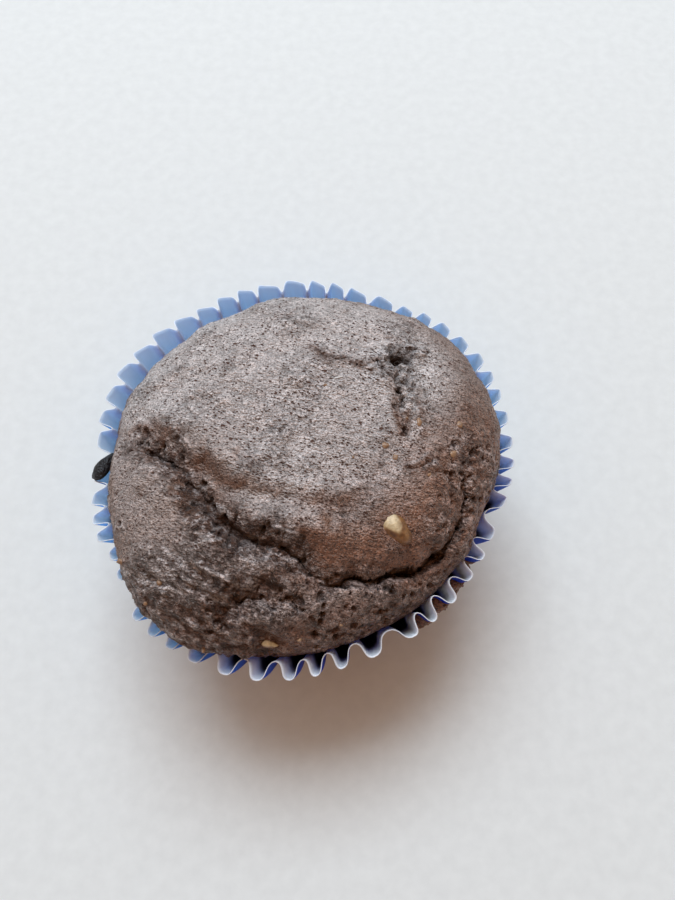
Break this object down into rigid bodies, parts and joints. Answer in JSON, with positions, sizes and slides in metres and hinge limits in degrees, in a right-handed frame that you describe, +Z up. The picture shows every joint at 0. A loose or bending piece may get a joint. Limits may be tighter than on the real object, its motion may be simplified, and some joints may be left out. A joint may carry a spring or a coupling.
{
  "type": "muffin",
  "caption": "Chocolate muffin with nut pieces: a domed, folded crust risen over the rim of a pleated paper baking case, with a flat base.",
  "frame": {"origin": "middle of the paper case's flat base, on the surface it stands on", "axes": "+Z up through the crown; -Y is the front, where the crust's main fold and the largest nut piece lie; +X to the right seen from the front"},
  "size_m": [0.0697, 0.0693, 0.0425],
  "materials": {
    "crumb": "baked cocoa crust, fine open pores, dull with a slight grease sheen",
    "paper": "thin greaseproof paper, printed blue outside and white inside, matt and slightly see-through",
    "nut": "chopped nut, cream with amber skin, satin"
  },
  "bodies": {
    "root": {"paper_case": "paper", "crumb": "crumb", "nut_piece_1": "nut", "nut_piece_2": "nut"}
  },
  "joints": []
}
